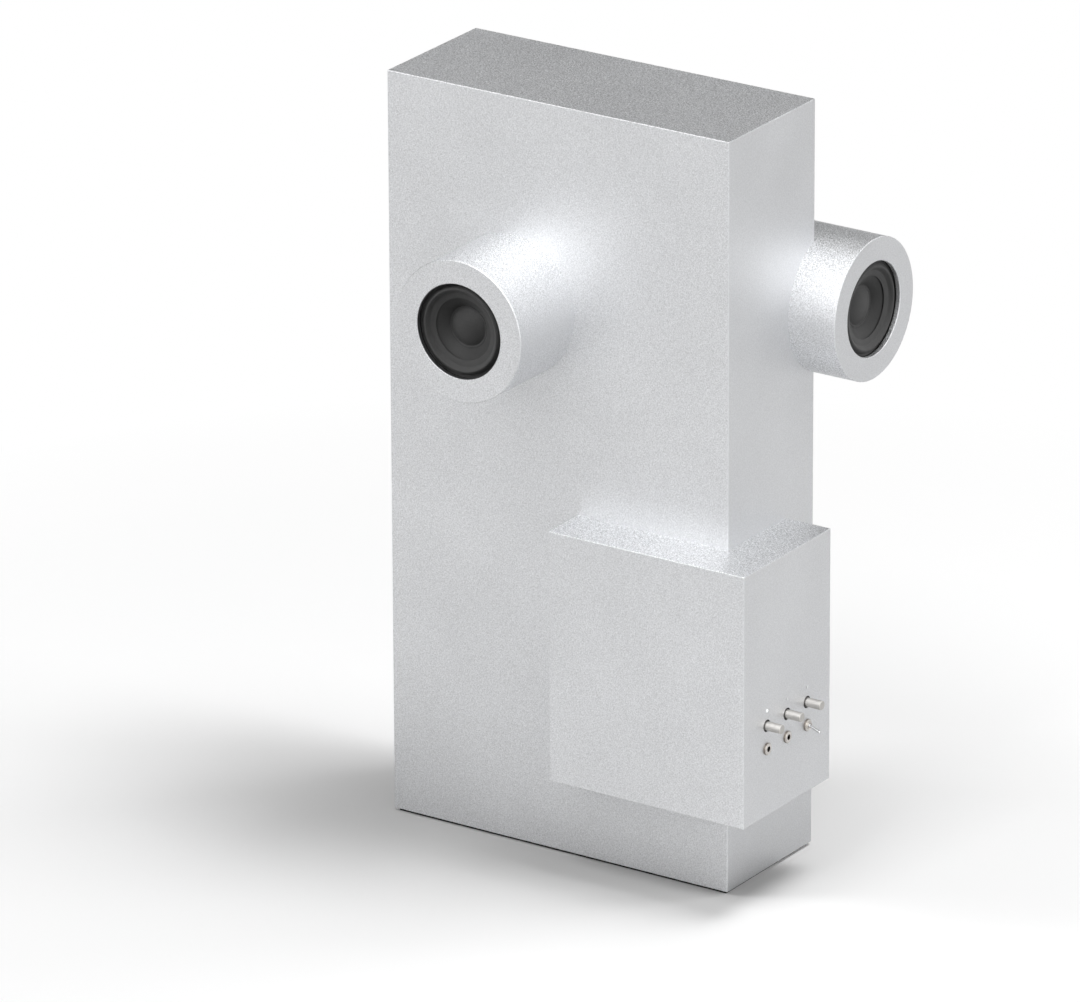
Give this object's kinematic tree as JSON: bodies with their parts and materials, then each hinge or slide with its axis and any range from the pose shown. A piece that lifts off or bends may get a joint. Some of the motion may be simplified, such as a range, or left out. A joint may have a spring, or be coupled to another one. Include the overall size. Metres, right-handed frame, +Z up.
{
  "type": "loudspeaker",
  "caption": "Upright aluminium slab loudspeaker with round pods facing front and side, and a corner control box with knobs, sockets and a toggle switch.",
  "frame": {"origin": "middle of the slab's footprint, on the surface that it stands on", "axes": "+Z up, -Y towards the front pod's face, +X towards the side pod's face and the controls"},
  "size_m": [0.2983, 0.2216, 0.502],
  "materials": {
    "aluminium": "bead blasted and clear anodised",
    "knob_aluminium": "turned, satin",
    "black_aluminium": "black anodised",
    "rubber": "matte",
    "black_rubber": "satin",
    "foam": "matte foam",
    "black_plastic": "matte",
    "cone_paper": "coated, satin",
    "dust_cap": "coated, satin",
    "spider_cloth": "resin-dipped cloth",
    "terminal_board": "fibre board",
    "board": "lacquered",
    "black_steel": "powder coated",
    "zinc_steel": "zinc plated",
    "nickel": "nickel plated",
    "brass": "turned",
    "copper": "enamelled wire on its former",
    "ferrite": "dark, fine-grained",
    "clear_lamp": "clear acrylic",
    "lit_lamp": "clear acrylic, lit white"
  },
  "bodies": {
    "cabinet": {"cabinet_shell": "aluminium", "base_pad": "rubber", "back_panel": "aluminium", "back_panel_gasket": "foam", "back_panel_screws": "zinc_steel", "power_inlet": "black_plastic", "power_inlet_nut": "nickel", "front_pod": "aluminium", "side_pod": "aluminium", "control_housing": "aluminium", "control_board": "board", "control_board_studs": "brass", "audio_socket_left": "nickel", "audio_socket_middle": "nickel", "socket_nuts": "nickel", "toggle_body": "nickel", "toggle_nut": "nickel", "amplifier_board": "board", "amplifier_studs": "brass", "heatsink": "black_aluminium", "capacitors": "black_plastic", "inductors": "ferrite", "lamp_left": "lit_lamp", "lamp_middle": "clear_lamp", "lamp_right": "clear_lamp", "pot_left": "black_plastic", "pot_middle": "black_plastic", "pot_right": "black_plastic", "front_basket": "black_steel", "front_seal_ring": "foam", "front_surround": "black_rubber", "front_spider": "spider_cloth", "front_terminals": "terminal_board", "front_driver_screws": "zinc_steel", "front_top_plate": "zinc_steel", "front_magnet": "ferrite", "front_yoke": "zinc_steel", "side_basket": "black_steel", "side_seal_ring": "foam", "side_surround": "black_rubber", "side_spider": "spider_cloth", "side_terminals": "terminal_board", "side_driver_screws": "zinc_steel", "side_top_plate": "zinc_steel", "side_magnet": "ferrite", "side_yoke": "zinc_steel"},
    "front_cone": {"front_cone": "cone_paper", "front_dust_cap": "dust_cap", "front_voice_coil": "copper"},
    "side_cone": {"side_cone": "cone_paper", "side_dust_cap": "dust_cap", "side_voice_coil": "copper"},
    "left_knob": {"knob_left": "knob_aluminium", "pot_shaft_left": "nickel"},
    "middle_knob": {"knob_middle": "knob_aluminium", "pot_shaft_middle": "nickel"},
    "right_knob": {"knob_right": "knob_aluminium", "pot_shaft_right": "nickel"},
    "toggle_lever": {"toggle_lever": "nickel"}
  },
  "joints": [
    {"name": "front_cone_travel", "type": "slide", "parent": "cabinet", "child": "front_cone", "axis": [0, -1, 0], "range_m": [-0.0025, 0.0025], "stiffness_N_per_m": 800, "deforming": ["front_surround", "front_spider"]},
    {"name": "side_cone_travel", "type": "slide", "parent": "cabinet", "child": "side_cone", "axis": [1, 0, 0], "range_m": [-0.0025, 0.0025], "stiffness_N_per_m": 800, "deforming": ["side_surround", "side_spider"]},
    {"name": "left_knob_turn", "type": "hinge", "parent": "cabinet", "child": "left_knob", "pos_m": [0.1601, -0.05585, 0.1253], "axis": [1, 0, 0], "range_deg": [-150, 150]},
    {"name": "middle_knob_turn", "type": "hinge", "parent": "cabinet", "child": "middle_knob", "pos_m": [0.1601, -0.03245, 0.1253], "axis": [1, 0, 0], "range_deg": [-150, 150]},
    {"name": "right_knob_turn", "type": "hinge", "parent": "cabinet", "child": "right_knob", "pos_m": [0.1601, -0.00905, 0.1253], "axis": [1, 0, 0], "range_deg": [-150, 150]},
    {"name": "toggle_throw", "type": "hinge", "parent": "cabinet", "child": "toggle_lever", "pos_m": [0.1618, -0.00905, 0.1098], "axis": [0, -1, 0], "range_deg": [0, 42]}
  ]
}
